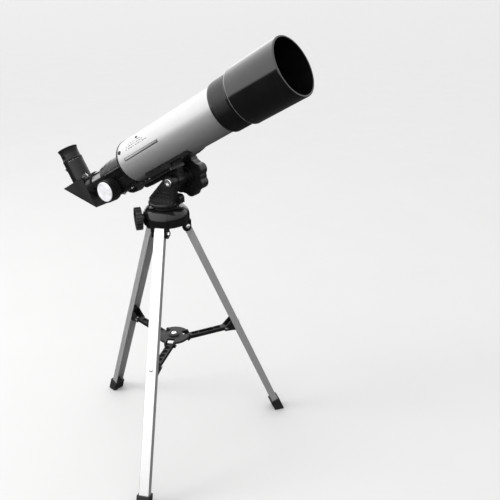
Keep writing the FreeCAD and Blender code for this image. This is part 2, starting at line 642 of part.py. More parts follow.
def clamp_sleeve():
    """Flanged spacer between the head's lug and the altitude knob."""
    flange = SLEEVE_NEAR + SLEEVE_LENGTH
    end = flange + CLAMP_WASHER_THICKNESS
    sleeve = cylinder(SLEEVE_RADIUS, SLEEVE_NEAR, flange + 1, Y_AXIS)
    collar = cylinder(CLAMP_WASHER_RADIUS, flange, end, Y_AXIS)
    bore = cylinder(ALTITUDE_BOLT_RADIUS, SLEEVE_NEAR - 1, end + 1, Y_AXIS)
    return at_pivot(fused([sleeve, collar]).cut(bore))


def altitude_knob():
    """Lobed clamp knob on the far end of the altitude bolt."""
    start = SLEEVE_NEAR + SLEEVE_LENGTH + CLAMP_WASHER_THICKNESS + GAP
    end = start + ALTITUDE_KNOB_THICKNESS
    lobe_radius = ALTITUDE_KNOB_RADIUS * 0.30
    lobe_place = ALTITUDE_KNOB_RADIUS - lobe_radius
    parts = [cylinder(ALTITUDE_KNOB_RADIUS * 0.87, start, end, Y_AXIS)]
    for index in range(KNOB_LOBES):
        angle = math.radians(360.0 * index / KNOB_LOBES + 30)
        spot = Vector(lobe_place * math.cos(angle), 0, lobe_place * math.sin(angle))
        parts.append(cylinder(lobe_radius, start, end, Y_AXIS, spot))
    knob = fused(parts)
    rims = [edge for edge in knob.Edges if abs(edge.Vertexes[0].Y - edge.Vertexes[-1].Y) < 1e-6]
    knob = knob.makeFillet(1.4, rims)
    bolt = cylinder(ALTITUDE_BOLT_RADIUS + SLIP, start - 1, end - 2, Y_AXIS)
    return at_pivot(knob.cut(bolt))


def tilt_head():
    """Lug beside the yoke's upright, with the plate that the saddle is screwed to."""
    drop = -TUBE_ABOVE_PIVOT
    lug_low = HEAD_TOP - HEAD_PLATE - LUG_DEPTH + 1.0
    tongue = slab((-BARREL_RADIUS, drop),
                  [((0, drop - BARREL_RADIUS), (BARREL_RADIUS, drop)),
                   (HEAD_FRONT - 4, HEAD_TOP - HEAD_PLATE), (HEAD_FRONT - 4, HEAD_TOP - 1),
                   (-HEAD_BACK + 1, HEAD_TOP - 1), (-HEAD_BACK + 1, lug_low + 2),
                   (-HEAD_BACK + 4, lug_low), (-HEAD_BACK + LUG_LENGTH, lug_low),
                   (-HEAD_BACK + LUG_LENGTH + 3, lug_low + 2)],
                  TONGUE_NEAR, TONGUE_FAR)
    plate = box((-HEAD_BACK, HEAD_FRONT), (-HEAD_WIDTH / 2, HEAD_WIDTH / 2),
                (HEAD_TOP - HEAD_PLATE, HEAD_TOP))
    corners = [edge for edge in plate.Edges
               if abs(edge.Vertexes[0].Z - edge.Vertexes[-1].Z) > 1]
    plate = plate.makeFillet(3.0, corners)
    bolt = cylinder(ALTITUDE_BOLT_RADIUS + SLIP, -20, 20, Y_AXIS, Vector(0, 0, drop))
    return in_tube(drilled(fused([tongue, plate]), bolt, *saddle_screw_holes()))


SADDLE_SCREW_PLACES = [(x, y) for x in (-15.3, 11.7) for y in (-10.2, 10.2)]
SADDLE_SCREW_HEAD = 1.7


def saddle_screw_holes():
    """Stepped holes of the four screws that join saddle and head."""
    bottom = HEAD_TOP - HEAD_PLATE
    return [cylinder(radius, bottom - 1, top, Z_AXIS, Vector(x, y, 0))
            for x, y in SADDLE_SCREW_PLACES
            for radius, top in ((1.5, HEAD_TOP + 4.0), (2.6, bottom + SADDLE_SCREW_HEAD))]


def saddle():
    """Cradle under the tube, with a flared front end."""
    half = SADDLE_WIDTH / 2
    block = box((-SADDLE_BACK, SADDLE_FRONT), (-half, half), (HEAD_TOP, -TUBE_RADIUS * 0.72))
    slope_back = slab((-SADDLE_BACK - 1, HEAD_TOP - 1),
                      [(-SADDLE_BACK + 3, HEAD_TOP - 1), (-SADDLE_BACK - 1, HEAD_TOP + 6)],
                      -half - 1, half + 1)
    taper_front = slab((SADDLE_FRONT - 24, HEAD_TOP - 1),
                       [(SADDLE_FRONT + 1, HEAD_TOP - 1), (SADDLE_FRONT + 1, HEAD_TOP + 3.2)],
                       -half - 1, half + 1)
    tube = cylinder(TUBE_RADIUS, -SADDLE_BACK - 1, SADDLE_FRONT + 1, X_AXIS)
    waist = [box((HEAD_FRONT + 4, SADDLE_FRONT - 12), sorted((side * (half - 3), side * (half + 1))),
                 (HEAD_TOP - 1, HEAD_TOP + 4)) for side in (-1, 1)]
    return in_tube(drilled(block, slope_back, taper_front, tube, *waist, *saddle_screw_holes()))


def saddle_screws():
    """Four screws up through the head into the saddle."""
    screws = []
    for x, y in SADDLE_SCREW_PLACES:
        screw = moved(pan_screw(2.5, 1.6, 1.5, HEAD_PLATE), ORIGIN, X_AXIS, 180)
        screws.append(moved(screw, Vector(x, y, HEAD_TOP - HEAD_PLATE + SADDLE_SCREW_HEAD)))
    return in_tube(Part.makeCompound(screws))


# --- optical tube -------------------------------------------------------------------
def rear_screw_places():
    """Angles of the three screws that hold the rear cell."""
    return [TUBE_SCREW_ANGLE + 120.0 * k for k in range(3)]


def radial_hole(radius, place, angle):
    """Hole through the tube's wall."""
    hole = cylinder(radius, TUBE_RADIUS - 6, TUBE_RADIUS + 4, Z_AXIS, Vector(place, 0, 0))
    return around_tube(hole, angle)


REAR_SCREW_X = TUBE_REAR + 5.0
BAFFLE_X = TUBE_REAR + BAFFLE_PLACE


def main_tube():
    """Silver painted aluminium tube."""
    tube = ring(TUBE_RADIUS, TUBE_BORE, TUBE_REAR, TUBE_FRONT, X_AXIS)
    holes = [radial_hole(1.3, REAR_SCREW_X, angle) for angle in rear_screw_places()]
    holes.append(radial_hole(1.0, BAFFLE_X, INDEX_SCREW_ANGLE))
    return in_tube(drilled(tube, *holes))


def rear_cell():
    """Black plug in the tube's rear end; the focuser bolts to it."""
    plug = TUBE_BORE - SLIP
    cell = turned_x((TUBE_REAR - REAR_FLANGE, 0), (TUBE_REAR - REAR_FLANGE, TUBE_RADIUS + 0.1),
                    (TUBE_REAR - 0.5, TUBE_RADIUS + 0.5), (TUBE_REAR, TUBE_RADIUS + 0.5),
                    (TUBE_REAR, plug), (TUBE_REAR + REAR_PLUG, plug),
                    (TUBE_REAR + REAR_PLUG, plug - 2.2), (TUBE_REAR + 2.0, plug - 2.2),
                    (TUBE_REAR + 2.0, 0))
    bore = cylinder(FOCUSER_RADIUS + SLIP, TUBE_REAR - 10, TUBE_REAR + 10, X_AXIS)
    holes = [radial_hole(1.3, REAR_SCREW_X, angle) for angle in rear_screw_places()]
    return in_tube(drilled(cell, bore, *holes))


def tube_screw(radius, shank):
    """Small round-headed screw standing on the tube."""
    return moved(pan_screw(radius, 1.2, shank, 3.4), Vector(0, 0, TUBE_RADIUS))


def tube_screws():
    """Three screws through the tube into the rear cell, and the stop ring's small one."""
    screws = [around_tube(moved(tube_screw(2.5, 1.3), Vector(REAR_SCREW_X, 0, 0)), angle)
              for angle in rear_screw_places()]
    return in_tube(Part.makeCompound(screws + [baffle_screw()]))


def baffle():
    """Stop ring inside the tube."""
    outer = TUBE_BORE - SLIP
    web = ring(outer, BAFFLE_HOLE_RADIUS, BAFFLE_X - BAFFLE_RIM / 2,
               BAFFLE_X - BAFFLE_RIM / 2 + BAFFLE_THICKNESS, X_AXIS)
    rim = ring(outer, outer - 1.6, BAFFLE_X - BAFFLE_RIM / 2, BAFFLE_X + BAFFLE_RIM / 2, X_AXIS)
    return in_tube(fused([web, rim]).cut(radial_hole(1.0, BAFFLE_X, INDEX_SCREW_ANGLE)))


def baffle_screw():
    """Small screw that holds the stop ring."""
    screw = moved(pan_screw(1.7, 0.9, 1.0, 2.4), Vector(BAFFLE_X, 0, TUBE_RADIUS))
    return around_tube(screw, INDEX_SCREW_ANGLE)


LENS_BACK = COLLAR_FRONT - CROWN_LENS_THICKNESS - FLINT_LENS_THICKNESS - LENS_SPACER - 5.0


def front_cell():
    """Ribbed collar that plugs into the tube and holds the objective."""
    spigot = TUBE_BORE - SLIP
    outline = [(TUBE_FRONT - CELL_SPIGOT, spigot), (TUBE_FRONT, spigot), (TUBE_FRONT, COLLAR_RADIUS)]
    ribbed_from = TUBE_FRONT + 3.0
    pitch = (COLLAR_LENGTH - 5.0) / COLLAR_RIBS
    for index in range(COLLAR_RIBS):
        here = ribbed_from + index * pitch
        outline += [(here, COLLAR_RADIUS), (here + pitch * 0.3, COLLAR_RADIUS - RIB_DEPTH),
                    (here + pitch * 0.6, COLLAR_RADIUS)]
    outline += [(COLLAR_FRONT, COLLAR_RADIUS), (COLLAR_FRONT, LENS_RADIUS + SLIP),
                (LENS_BACK, LENS_RADIUS + SLIP), (LENS_BACK, LENS_RADIUS - LENS_SEAT_LIP),
                (LENS_BACK - 2.5, LENS_RADIUS - LENS_SEAT_LIP), (TUBE_FRONT - CELL_SPIGOT, spigot - 1.4)]
    return in_tube(turned_x(outline[0], *outline[1:]))


def lens(axis, low, high, bulge_low, bulge_high, radius):
    """Lens between two edge planes; a negative bulge is a hollow face, zero a flat one."""
    reach = [1.5 * max(bulge, 0) for bulge in (bulge_low, bulge_high)]
    solid = cylinder(radius, low - reach[0], high + reach[1], axis)
    for edge, bulge, outward in ((low, bulge_low, -1), (high, bulge_high, 1)):
        if bulge == 0:
            continue
        curve = (radius ** 2 + bulge ** 2) / (2 * abs(bulge))
        middle = edge + outward * (bulge - math.copysign(curve, bulge))
        ball = Part.makeSphere(curve, axis * middle, Y_AXIS)
        solid = solid.common(ball) if bulge > 0 else solid.cut(ball)
    return solid


def objective():
    """Flint and crown lenses, the thin ring between them, and the retaining ring."""
    spacer_x = LENS_BACK + FLINT_LENS_THICKNESS
    flint = lens(X_AXIS, LENS_BACK, spacer_x, -0.5, -1.6, LENS_RADIUS)
    spacer = ring(LENS_RADIUS, LENS_RADIUS - 1.4, spacer_x, spacer_x + LENS_SPACER, X_AXIS)
    crown_x = spacer_x + LENS_SPACER
    ring_x = crown_x + CROWN_LENS_THICKNESS - 2.0
    crown = lens(X_AXIS, crown_x, ring_x, 1.6, 1.8, LENS_RADIUS)
    spacer = spacer.cut(crown)
    retainer = ring(LENS_RADIUS, LENS_RADIUS - 1.5, ring_x, ring_x + 4.0, X_AXIS).cut(crown)
    return in_tube(flint), in_tube(spacer), in_tube(crown), in_tube(retainer)


def dew_shield():
    """Long hood ahead of the objective, rounded at its rear edge."""
    seat_end = SHIELD_REAR + SHIELD_SEAT
    shield = turned_x(
        (SHIELD_REAR, COLLAR_RADIUS + SLIP),
        ((SHIELD_REAR + 0.6, SHIELD_BACK_RADIUS - 0.7), (SHIELD_REAR + 2.4, SHIELD_BACK_RADIUS)),
        (SHIELD_RIM - 0.6, SHIELD_RIM_RADIUS), (SHIELD_RIM, SHIELD_RIM_RADIUS - 0.5),
        (SHIELD_RIM, SHIELD_BORE_RADIUS), (seat_end, SHIELD_BORE_RADIUS),
        (seat_end, COLLAR_RADIUS + SLIP))
    return in_tube(shield)


# --- focuser ------------------------------------------------------------------------
def involute_tooth_profile(points):
    """Half of a tooth as (radius, angle) from its tip's centre line."""
    pressure = math.radians(20)
    base = PITCH_RADIUS * math.cos(pressure)
    tip = PITCH_RADIUS + MODULE * 0.8
    half_pitch = math.pi / (2 * PINION_TEETH) - 0.09 / PITCH_RADIUS
    flank = []
    for index in range(points):
        radius = base + (tip - base) * index / (points - 1)
        ratio = min(1.0, base / radius)
        roll = math.tan(math.acos(ratio)) - math.acos(ratio)
        at_pitch = math.tan(pressure) - pressure
        flank.append((radius, half_pitch + at_pitch - roll))
    return flank


def pinion():
    """Small gear and shaft that drive the drawtube's rack."""
    root = PITCH_RADIUS - MODULE * 1.05
    flank = involute_tooth_profile(5)
    outline = []
    for tooth in range(PINION_TEETH):
        centre = math.radians(90) + 2 * math.pi * (tooth + 0.5) / PINION_TEETH
        rising = [(root, -flank[0][1])] + [(r, -a) for r, a in flank]
        falling = [(r, a) for r, a in reversed(flank)] + [(root, flank[0][1])]
        for radius, angle in rising + falling:
            outline.append(Vector(radius * math.cos(centre + angle), 0,
                                  radius * math.sin(centre + angle)))
    face = Part.Face(Part.makePolygon(outline + [outline[0]]))
    gear = moved(face.extrude(Vector(0, PINION_WIDTH, 0)), Vector(0, -PINION_WIDTH / 2, 0))
    end = FOCUS_KNOB_GAP + FOCUS_KNOB_LENGTH - 1.5
    shaft = cylinder(SHAFT_RADIUS, -end, end, Y_AXIS)
    return in_tube(moved(fused([gear, shaft]), Vector(PINION_X, 0, PINION_Z)))


def focus_knob(side):
    """Fluted knob on one end of the pinion shaft, and its bright end cap."""
    start, end = FOCUS_KNOB_GAP, FOCUS_KNOB_GAP + FOCUS_KNOB_LENGTH
    grip = ribbed(FOCUS_KNOB_RADIUS, 0.45, KNOB_RIBS, start + 2.0, end - 0.8, Y_AXIS)
    skirt = cylinder(FOCUS_KNOB_RADIUS - 0.6, start, end, Y_AXIS)
    bore = cylinder(SHAFT_RADIUS, start - 1, end - 1.5, Y_AXIS)
    recess = cylinder(KNOB_CAP_RADIUS, end - 0.8, end + 1, Y_AXIS)
    knob = drilled(fused([grip, skirt]), bore, recess)
    cap = moved(turned((0, 0), (KNOB_CAP_RADIUS - SLIP, 0), (KNOB_CAP_RADIUS - SLIP, 0.6),
                       (KNOB_CAP_RADIUS - 0.8, KNOB_CAP_THICKNESS), (0, KNOB_CAP_THICKNESS)),
                Vector(0, end - 0.8, 0), X_AXIS, -90)
    angle = 0 if side > 0 else 180
    place = Vector(PINION_X, 0, PINION_Z)
    return [in_tube(moved(shape, place, Z_AXIS, angle)) for shape in (knob, cap)]


def focuser_body():
    """Sleeve for the drawtube with the gear box under it."""
    sleeve = cylinder(FOCUSER_RADIUS, FOCUSER_REAR, FOCUSER_FRONT + 4, X_AXIS)
    flange = cylinder(FOCUSER_FLANGE_RADIUS, FOCUSER_FRONT - FOCUSER_FLANGE, FOCUSER_FRONT, X_AXIS)
    half = GEARBOX_WIDTH / 2
    gearbox = slab((FOCUSER_REAR, -6),
                   [(FOCUSER_REAR, -GEARBOX_DEPTH + 5), (FOCUSER_REAR + 4, -GEARBOX_DEPTH),
                    (FOCUSER_FRONT - FOCUSER_FLANGE, -GEARBOX_DEPTH), (FOCUSER_FRONT - FOCUSER_FLANGE, -6)],
                   -half, half)
    gearbox = gearbox.fuse(box((FOCUSER_FRONT - 16, FOCUSER_FRONT - FOCUSER_FLANGE),
                               (-half - 1.5, half + 1.5), (-GEARBOX_DEPTH + 4, -4)))
    cavity = cylinder(PITCH_RADIUS + MODULE + 0.6, -PINION_WIDTH / 2 - GAP, PINION_WIDTH / 2 + GAP, Y_AXIS,
                      Vector(PINION_X, 0, PINION_Z))
    shaft = cylinder(SHAFT_RADIUS + SLIP, -30, 30, Y_AXIS, Vector(PINION_X, 0, PINION_Z))
    window = box((PINION_X - 5.4, PINION_X + 5.4), (-PINION_WIDTH / 2 - GAP, PINION_WIDTH / 2 + GAP),
                 (-GEARBOX_DEPTH - 1, -10))
    bore = cylinder(DRAWTUBE_RADIUS + SLIP, FOCUSER_REAR - 1, FOCUSER_FRONT + 5, X_AXIS)
    groove = box((FOCUSER_REAR - 1, FOCUSER_FRONT + 5), (-RACK_WIDTH / 2 - GAP, RACK_WIDTH / 2 + GAP),
                 (RACK_PITCH_Z - MODULE - GAP, -5))
    seat = ring(FOCUSER_RADIUS + 5, FOCUSER_RADIUS, FOCUSER_REAR + 9.5,
                FOCUSER_REAR + 9.5 + TOP_COVER_LENGTH, X_AXIS)
    body = fused([sleeve, flange, gearbox])
    holes = [cylinder(1.2, -GEARBOX_DEPTH - 5, -GEARBOX_DEPTH + 4, Z_AXIS, Vector(x, y, 0))
             for x, y in cover_screw_places()]
    upper = box((FOCUSER_REAR, FOCUSER_FRONT), (-40, 40), (-0.5, 40))
    return in_tube(drilled(body, seat.common(upper), cavity, shaft, window, bore, groove, *holes))


def top_cover():
    """Half-round cover over the focuser's sleeve, with a ring groove."""
    start = FOCUSER_REAR + 9.5
    end = min(start + TOP_COVER_LENGTH, FOCUSER_FRONT - FOCUSER_FLANGE)
    outer = FOCUSER_RADIUS + TOP_COVER_WALL
    shell = ring(outer, FOCUSER_RADIUS, start, end, X_AXIS)
    groove = ring(outer + 1, outer - 0.5, start + 11, start + 12.6, X_AXIS)
    rails = [box((start, end), sorted((side * FOCUSER_RADIUS, side * (outer + 0.7))), (0, 1.6))
             for side in (-1, 1)]
    half = box((start - 1, end + 1), (-40, 40), (0, 40))
    return in_tube(fused([shell.cut(groove)] + rails).common(half))


def cover_screw_places():
    """The four screws of the pinion cover."""
    return [(PINION_X + dx, dy) for dx in (-9.0, 24.0) for dy in (-7.6, 7.6)]


def pinion_cover():
    """Plate under the gear box that closes the pinion's cavity."""
    low = -GEARBOX_DEPTH - 1.8
    plate = box((PINION_X - 12, PINION_X + 27), (-GEARBOX_WIDTH / 2 + 0.6, GEARBOX_WIDTH / 2 - 0.6),
                (low, -GEARBOX_DEPTH))
    holes = [cylinder(1.2, low - 1, -GEARBOX_DEPTH + 1, Z_AXIS, Vector(x, y, 0))
             for x, y in cover_screw_places()]
    return in_tube(drilled(plate, *holes))


def pinion_cover_screws():
    """Four screws with round heads below the cover."""
    screws = []
    for x, y in cover_screw_places():
        screw = moved(pan_screw(2.3, 1.5, 1.2, 4.0), ORIGIN, X_AXIS, 180)
        screws.append(moved(screw, Vector(x, y, -GEARBOX_DEPTH - 1.8)))
    return in_tube(Part.makeCompound(screws))


DRAWTUBE_SCREW_X = DRAWTUBE_REAR + DRAWTUBE_COLLAR * 0.55
DRAWTUBE_SCREW_ANGLE = 42.0


def drawtube():
    """Chromed draw tube with a collar for the diagonal's nose."""
    tube = ring(DRAWTUBE_RADIUS, NOSE_RADIUS + SLIP, DRAWTUBE_REAR, DRAWTUBE_FRONT, X_AXIS)
    groove = box((DRAWTUBE_REAR - 1, DRAWTUBE_FRONT + 1), (-RACK_WIDTH / 2, RACK_WIDTH / 2),
                 (-40, -RACK_BACK))
    hole = around_tube(cylinder(THUMB_STEM_RADIUS, 8, 30, Z_AXIS, Vector(DRAWTUBE_SCREW_X, 0, 0)),
                       DRAWTUBE_SCREW_ANGLE)
    return in_tube(drilled(tube, groove, hole))


def drawtube_collar():
    """Black ring on the draw tube's end that takes the set screw."""
    end = DRAWTUBE_REAR + DRAWTUBE_COLLAR
    collar = ring(DRAWTUBE_COLLAR_RADIUS, DRAWTUBE_RADIUS, DRAWTUBE_REAR, end, X_AXIS)
    rack_way = box((end - 2, end + 1), (-RACK_WIDTH / 2, RACK_WIDTH / 2), (-20, -5))
    hole = around_tube(cylinder(THUMB_STEM_RADIUS, 8, 30, Z_AXIS, Vector(DRAWTUBE_SCREW_X, 0, 0)),
                       DRAWTUBE_SCREW_ANGLE)
    return in_tube(drilled(collar, rack_way, hole))


def drawtube_rack():
    """Toothed strip let into the bottom of the draw tube."""
    pitch = math.pi * MODULE
    start = DRAWTUBE_REAR + DRAWTUBE_COLLAR + 1.0
    tip = RACK_PITCH_Z - MODULE * 0.8
    root = RACK_PITCH_Z + MODULE * 1.0
    tan = math.tan(math.radians(20))
    half = pitch / 4 - 0.09
    first = PINION_X - pitch * math.floor((PINION_X - start - 2) / pitch)
    count = int((RACK_LENGTH - 4) / pitch)
    outline = [(start, -RACK_BACK), (start, root)]
    for index in range(count):
        centre = first + index * pitch
        outline += [(centre - half - MODULE * tan, root), (centre - half + MODULE * 0.8 * tan, tip),
                    (centre + half - MODULE * 0.8 * tan, tip), (centre + half + MODULE * tan, root)]
    outline += [(start + RACK_LENGTH, root), (start + RACK_LENGTH, -RACK_BACK)]
    return in_tube(slab(outline[0], outline[1:], -RACK_WIDTH / 2, RACK_WIDTH / 2))


def drawtube_screw():
    """Chromed set screw that clamps the diagonal's nose."""
    screw = moved(thumbscrew(DRAWTUBE_COLLAR_RADIUS - NOSE_RADIUS - GAP), Vector(0, 0, DRAWTUBE_COLLAR_RADIUS))
    return in_tube(around_tube(moved(screw, Vector(DRAWTUBE_SCREW_X, 0, 0)), DRAWTUBE_SCREW_ANGLE))


# --- star diagonal and eyepiece -----------------------------------------------------
def diagonal_outline(inset):
    """The housing's triangle, drawn in by inset on every side."""
    top = DIAGONAL_TOP - inset
    front = DIAGONAL_FRONT - inset
    side = DIAGONAL_SIDE - inset * (2 + math.sqrt(2))
    return (front, top), [(front - side, top), (front, top - side)]


def diagonal_housing():
    """Hollow triangular housing, open on its long face."""
    start, steps = diagonal_outline(0.0)
    outer = slab(start, steps, -DIAGONAL_WIDTH / 2, DIAGONAL_WIDTH / 2)
    start, steps = diagonal_outline(DIAGONAL_WALL)
    reach = 8.0
    inner = slab(start, [(steps[0][0] - reach, steps[0][1]), (steps[1][0], steps[1][1] - reach)],
                 -DIAGONAL_WIDTH / 2 + DIAGONAL_WALL, DIAGONAL_WIDTH / 2 - DIAGONAL_WALL)
    light_in = cylinder(NOSE_RADIUS, DIAGONAL_FRONT - 5, DIAGONAL_FRONT + 5, X_AXIS)
    light_out = cylinder(EYEPIECE_RADIUS, DIAGONAL_TOP - 5, DIAGONAL_TOP + 5, Z_AXIS,
                         Vector(EYEPIECE_X, 0, 0))
    return in_tube(drilled(outer, inner, light_in, light_out))


def long_face_plate(depth_out, depth_in, width, shorten):
    """Plate along the triangle's long face, between two depths inside it."""
    def corner(inset, end):
        start, steps = diagonal_outline(0.0)
        back, low = steps
        shift = inset * math.sqrt(2) / 2
        along = shorten * math.sqrt(2) / 2
        if end == "back":
            return back[0] + shift + along, back[1] + shift - along
        return low[0] + shift - along, low[1] + shift + along
    points = [corner(depth_out, "back"), corner(depth_out, "low"),
              corner(depth_in, "low"), corner(depth_in, "back")]
    return slab(points[0], points[1:], -width / 2, width / 2)


def diagonal_back():
    """Cover that closes the long face and carries the mirror."""
    width = DIAGONAL_WIDTH - 2 * DIAGONAL_WALL - 2 * SLIP
    return in_tube(long_face_plate(0.0, 1.8, width, DIAGONAL_WALL * (1 + math.sqrt(2)) + 2.4))


def diagonal_mirror():
    """First-surface mirror on the cover."""
    width = DIAGONAL_WIDTH - 2 * DIAGONAL_WALL - 1.5
    return in_tube(long_face_plate(1.8, 1.8 + MIRROR_THICKNESS, width, 11.0))


def diagonal_nose():
    """Bright tube that slides into the draw tube."""
    nose = ring(NOSE_RADIUS, NOSE_RADIUS - NOSE_WALL, DIAGONAL_FRONT - DIAGONAL_WALL,
                DIAGONAL_FRONT + NOSE_LENGTH, X_AXIS)
    return in_tube(nose)


def eyepiece_tool(shape):
    """Move a shape made about Z onto the eyepiece's axis."""
    return in_tube(moved(shape, Vector(EYEPIECE_X, 0, 0)))


HOLDER_SCREW_Z = DIAGONAL_TOP + HOLDER_LENGTH * 0.82


def eyepiece_holder():
    """Black tube on the diagonal that takes the eyepiece."""
    holder = ring(HOLDER_RADIUS, EYEPIECE_RADIUS + SLIP, DIAGONAL_TOP, HOLDER_TOP)
    hole = cylinder(THUMB_STEM_RADIUS, 5, 30, X_AXIS, Vector(0, 0, HOLDER_SCREW_Z))
    return eyepiece_tool(holder.cut(moved(hole, ORIGIN, Z_AXIS, 180)))


def holder_screw():
    """Thumbscrew at the back of the eyepiece holder."""
    length = HOLDER_RADIUS - EYEPIECE_RADIUS - GAP
    screw = moved(thumbscrew(length), ORIGIN, Y_AXIS, -90)
    return eyepiece_tool(moved(screw, Vector(-HOLDER_RADIUS, 0, HOLDER_SCREW_Z)))


def eyepiece_barrel():
    """Bright barrel of the eyepiece."""
    low = HOLDER_TOP - EYEPIECE_INSERT
    top = HOLDER_TOP + SHOULDER_HEIGHT
    return eyepiece_tool(ring(EYEPIECE_RADIUS, EYEPIECE_RADIUS - EYEPIECE_WALL, low, top))


def eyepiece_body():
    """Black body: a two-step shoulder over the barrel and a short neck."""
    base = HOLDER_TOP + GAP
    inner = EYEPIECE_RADIUS
    top = EYECUP_BASE
    body = turned((inner, base), (SHOULDER_RADIUS - 0.4, base), (SHOULDER_RADIUS, base + 0.4),
                  (SHOULDER_RADIUS, base + 1.2), (SHOULDER_RADIUS - 0.7, base + 1.5),
                  (SHOULDER_RADIUS, base + 1.8), (SHOULDER_RADIUS, EYEPIECE_BODY_BASE - 0.3),
                  (EYEPIECE_BODY_RADIUS + 0.4, EYEPIECE_BODY_BASE),
                  (EYEPIECE_BODY_RADIUS + 0.4, EYEPIECE_BODY_BASE + 1.0),
                  (EYEPIECE_BODY_RADIUS, EYEPIECE_BODY_BASE + 1.3), (EYEPIECE_BODY_RADIUS, top),
                  (6.5, top), (6.5, top - 2), (EYEPIECE_RADIUS - 2, top - 2),
                  (EYEPIECE_RADIUS - 2, EYEPIECE_BODY_BASE), (inner, EYEPIECE_BODY_BASE))
    return eyepiece_tool(body)


def eyecup():
    """Flared rubber cup, hollow at the top."""
    base = EYECUP_BASE
    top = base + EYECUP_HEIGHT
    cup = turned((6.5, base), (EYEPIECE_BODY_RADIUS, base),
                 ((EYEPIECE_BODY_RADIUS + 0.2, base + EYECUP_HEIGHT * 0.5), (EYECUP_RADIUS, top - 0.8)),
                 (EYECUP_RADIUS - 0.5, top), (EYECUP_RADIUS - 1.6, top),
                 ((9.3, top - 3.2), (6.5, top - 4.6)))
    return eyepiece_tool(cup)


def eyepiece_optics():
    """Field lens, spacer tube and eye lens."""
    inner = EYEPIECE_RADIUS - EYEPIECE_WALL
    field = eyepiece_tool(lens(Z_AXIS, HOLDER_TOP - 6.0, HOLDER_TOP - 4.0, 2.2, 0, inner))
    spacer_top = EYEPIECE_BODY_BASE
    spacer = eyepiece_tool(ring(inner, inner - 1.2, HOLDER_TOP - 4.0, spacer_top))
    eye_base = EYECUP_BASE - 4.4
    eye = eyepiece_tool(lens(Z_AXIS, eye_base, eye_base + 1.6, 1.6, 0, EYEPIECE_RADIUS - 2))
    return field, spacer, eye


# --- export -------------------------------------------------------------------------
def all_nodes():
    """Every piece by its node name."""
    nodes = {"hub_crown": hub_crown(), "leg_bolts": leg_bolts()}
    channel, boot = leg_frame(leg_channel()), foot_boot()
    clip, fasteners = leg_frame(spreader_clip()), leg_frame(clip_fasteners())
    arm = spreader_arm().fuse(arm_pin()).removeSplitter()
    for number, azimuth in enumerate(LEG_AZIMUTHS, start=1):
        nodes[f"leg_{number}"] = to_leg(channel, azimuth)
        nodes[f"foot_{number}"] = to_leg(boot, azimuth)
        nodes[f"spreader_clip_{number}"] = to_leg(clip, azimuth)
        nodes[f"clip_fasteners_{number}"] = to_leg(fasteners, azimuth)
        nodes[f"spreader_arm_{number}"] = to_leg(arm, azimuth)
    nodes["spreader_hub"] = spreader_hub()
    nodes["spreader_screw"] = spreader_screw()
    nodes["azimuth_lock_knob"] = azimuth_lock()
    nodes["azimuth_spindle"] = azimuth_spindle()
    nodes["yoke"] = yoke()
    nodes["altitude_bolt"] = altitude_bolt()
    nodes["clamp_sleeve"] = clamp_sleeve()
    nodes["altitude_lock_knob"] = altitude_knob()
    nodes["tilt_head"] = tilt_head()
    nodes["saddle"] = saddle()
    nodes["saddle_screws"] = saddle_screws()
    nodes["main_tube"] = main_tube()
    nodes["rear_cell"] = rear_cell()
    nodes["tube_screws"] = tube_screws()
    nodes["baffle"] = baffle()
    nodes["front_cell"] = front_cell()
    (nodes["flint_lens"], nodes["lens_spacer"], nodes["crown_lens"],
     nodes["lens_retainer"]) = objective()
    nodes["dew_shield"] = dew_shield()
    nodes["focuser_body"] = focuser_body()
    nodes["focuser_top_cover"] = top_cover()
    nodes["pinion_cover"] = pinion_cover()
    nodes["pinion_cover_screws"] = pinion_cover_screws()
    nodes["pinion_shaft"] = pinion()
    knobs = [focus_knob(side) for side in (-1, 1)]
    nodes["focus_knobs"] = Part.makeCompound([knob for knob, cap in knobs])
    nodes["focus_knob_caps"] = Part.makeCompound([cap for knob, cap in knobs])
    nodes["drawtube"] = drawtube()
    nodes["drawtube_collar"] = drawtube_collar()
    nodes["drawtube_rack"] = drawtube_rack()
    nodes["drawtube_screw"] = drawtube_screw()
    nodes["diagonal_housing"] = diagonal_housing()
    nodes["diagonal_back"] = diagonal_back()
    nodes["diagonal_mirror"] = diagonal_mirror()
    nodes["diagonal_nose"] = diagonal_nose()
    nodes["eyepiece_holder"] = eyepiece_holder()
    nodes["holder_screw"] = holder_screw()
    nodes["eyepiece_barrel"] = eyepiece_barrel()
    nodes["eyepiece_body"] = eyepiece_body()
    nodes["eyecup"] = eyecup()
    field, nodes["eyepiece_spacer"], eye = eyepiece_optics()
    nodes["eyepiece_lenses"] = Part.makeCompound([field, eye])
    return nodes


os.makedirs("parts", exist_ok=True)
for name, shape in all_nodes().items():
    shape.exportStep(f"parts/{name}.step")
    print(name, len(shape.Solids), "solid(s)", round(shape.Volume, 1), "mm3", shape.isValid())
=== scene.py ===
"""Looks for the telescope on its tripod: finishes, soft edges, print, floor, light and camera."""
import json
import math

import bpy
from mathutils import Matrix, Vector


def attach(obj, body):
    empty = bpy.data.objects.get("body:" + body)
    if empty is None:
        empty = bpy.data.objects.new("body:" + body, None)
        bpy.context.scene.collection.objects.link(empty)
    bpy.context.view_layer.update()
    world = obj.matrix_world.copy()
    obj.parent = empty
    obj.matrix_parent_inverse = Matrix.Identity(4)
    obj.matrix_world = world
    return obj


MM = 0.001

